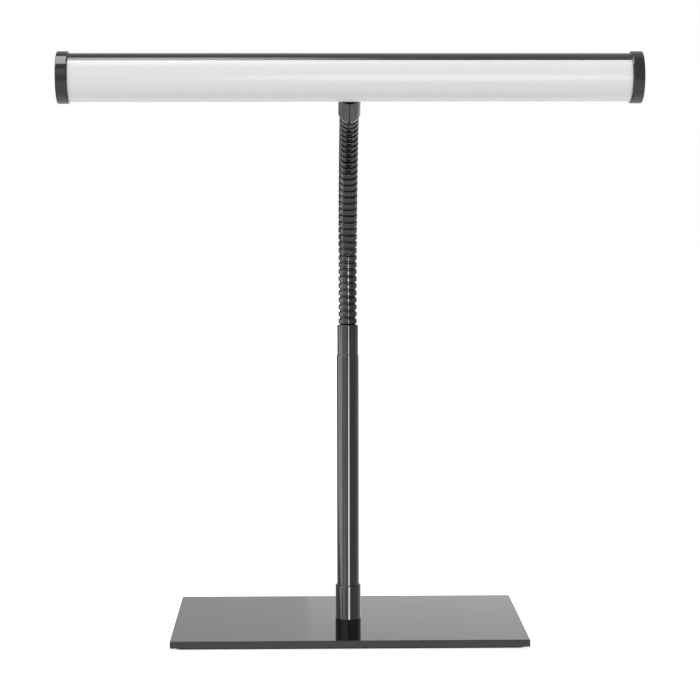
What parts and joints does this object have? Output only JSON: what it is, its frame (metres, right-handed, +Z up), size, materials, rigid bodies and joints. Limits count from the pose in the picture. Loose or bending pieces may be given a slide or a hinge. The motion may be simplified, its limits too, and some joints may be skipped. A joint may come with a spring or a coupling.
{
  "type": "piano lamp",
  "caption": "Piano lamp: flat plate base, round post, ribbed gooseneck that leans forward and a tubular light bar with an opal diffuser that swivels on the neck.",
  "frame": {"origin": "on the post's axis, in the plane of the pad's underside on which the lamp stands", "axes": "+Z up; -Y is the front, to which the neck leans and the light falls; the light bar runs along X"},
  "size_m": [0.39, 0.2004, 0.4103],
  "materials": {
    "black_chrome_steel": "polished black chrome on steel",
    "black_chrome_housing": "polished black chrome on an aluminium profile",
    "black_chrome_cap": "black-chrome plated plastic",
    "opal_diffuser": "opal white, satin gloss",
    "black_plastic": "fine matt",
    "black_rubber": "matt",
    "steel": "zinc plated",
    "circuit_board": "white solder mask",
    "led_yellow": "phosphor",
    "driver_case": "potted module",
    "lead_sheath": "soft sheath"
  },
  "bodies": {
    "base": {"base_plate": "black_chrome_steel", "base_pad": "black_rubber", "base_screw": "steel", "post_foot_plug": "steel", "post_tube": "black_chrome_steel", "post_collar": "black_chrome_steel", "cord_grommet": "black_rubber", "lead_post": "lead_sheath", "neck_lower_ferrule": "black_chrome_steel", "ferrule_set_screw": "steel", "gooseneck_root": "black_chrome_steel"},
    "neck_link_01": {"gooseneck_link_01": "black_chrome_steel"},
    "neck_link_02": {"gooseneck_link_02": "black_chrome_steel"},
    "neck_link_03": {"gooseneck_link_03": "black_chrome_steel"},
    "neck_link_04": {"gooseneck_link_04": "black_chrome_steel"},
    "neck_link_05": {"gooseneck_link_05": "black_chrome_steel"},
    "neck_link_06": {"gooseneck_link_06": "black_chrome_steel"},
    "neck_link_07": {"gooseneck_link_07": "black_chrome_steel"},
    "neck_link_08": {"gooseneck_link_08": "black_chrome_steel"},
    "neck_link_09": {"gooseneck_link_09": "black_chrome_steel"},
    "neck_link_10": {"gooseneck_link_10": "black_chrome_steel"},
    "neck_top": {"gooseneck_tip": "black_chrome_steel", "neck_coupling": "black_chrome_steel", "swivel_stud": "steel", "swivel_washer": "steel", "swivel_nut": "steel"},
    "head": {"head_saddle": "black_plastic", "swivel_inner_saddle": "black_plastic", "head_housing": "black_chrome_housing", "diffuser_lens": "opal_diffuser", "end_cap_left": "black_chrome_cap", "end_cap_right": "black_chrome_cap", "led_board": "circuit_board", "led_chips": "led_yellow", "led_driver": "driver_case", "lead_head": "lead_sheath", "switch_body": "black_plastic", "switch_bezel": "black_chrome_steel"},
    "button": {"switch_button": "black_plastic"}
  },
  "joints": [
    {"name": "neck_bend_1", "type": "hinge", "parent": "base", "child": "neck_link_01", "pos_m": [0, 0, 0.22552], "axis": [1, 0, 0], "range_deg": [-9.5, 7]},
    {"name": "neck_side_1", "type": "hinge", "parent": "neck_link_01", "child": "neck_link_02", "pos_m": [0, -0.00023, 0.24088], "axis": [0, 0.999, 0.045], "range_deg": [-9, 9]},
    {"name": "neck_bend_2", "type": "hinge", "parent": "neck_link_02", "child": "neck_link_03", "pos_m": [0, -0.00144, 0.25619], "axis": [1, 0, 0], "range_deg": [-9.5, 7]},
    {"name": "neck_side_2", "type": "hinge", "parent": "neck_link_03", "child": "neck_link_04", "pos_m": [0, -0.00368, 0.27138], "axis": [0, 0.9838, 0.1791], "range_deg": [-9, 9]},
    {"name": "neck_bend_3", "type": "hinge", "parent": "neck_link_04", "child": "neck_link_05", "pos_m": [0, -0.00697, 0.28638], "axis": [1, 0, 0], "range_deg": [-9.5, 7]},
    {"name": "neck_side_3", "type": "hinge", "parent": "neck_link_05", "child": "neck_link_06", "pos_m": [0, -0.01173, 0.30097], "axis": [0, 0.9325, 0.3611], "range_deg": [-9, 9]},
    {"name": "neck_bend_4", "type": "hinge", "parent": "neck_link_06", "child": "neck_link_07", "pos_m": [0, -0.01804, 0.31497], "axis": [1, 0, 0], "range_deg": [-9.5, 7]},
    {"name": "neck_side_4", "type": "hinge", "parent": "neck_link_07", "child": "neck_link_08", "pos_m": [0, -0.02583, 0.3282], "axis": [0, 0.8332, 0.5529], "range_deg": [-9, 9]},
    {"name": "neck_bend_5", "type": "hinge", "parent": "neck_link_08", "child": "neck_link_09", "pos_m": [0, -0.035, 0.34052], "axis": [1, 0, 0], "range_deg": [-9.5, 7]},
    {"name": "neck_side_5", "type": "hinge", "parent": "neck_link_09", "child": "neck_link_10", "pos_m": [0, -0.04544, 0.35177], "axis": [0, 0.6951, 0.7189], "range_deg": [-9, 9]},
    {"name": "neck_bend_6", "type": "hinge", "parent": "neck_link_10", "child": "neck_top", "pos_m": [0, -0.05704, 0.36183], "axis": [1, 0, 0], "range_deg": [-9.5, 7]},
    {"name": "head_swivel", "type": "hinge", "parent": "neck_top", "child": "head", "pos_m": [0, -0.10287, 0.39283], "axis": [0, -0.832, 0.5548], "range_deg": [-90, 90]},
    {"name": "switch_press", "type": "slide", "parent": "head", "child": "button", "axis": [0, -1, 0], "range_m": [0, 0.0015], "stiffness_N_per_m": 800, "springref_m": -0.001}
  ]
}
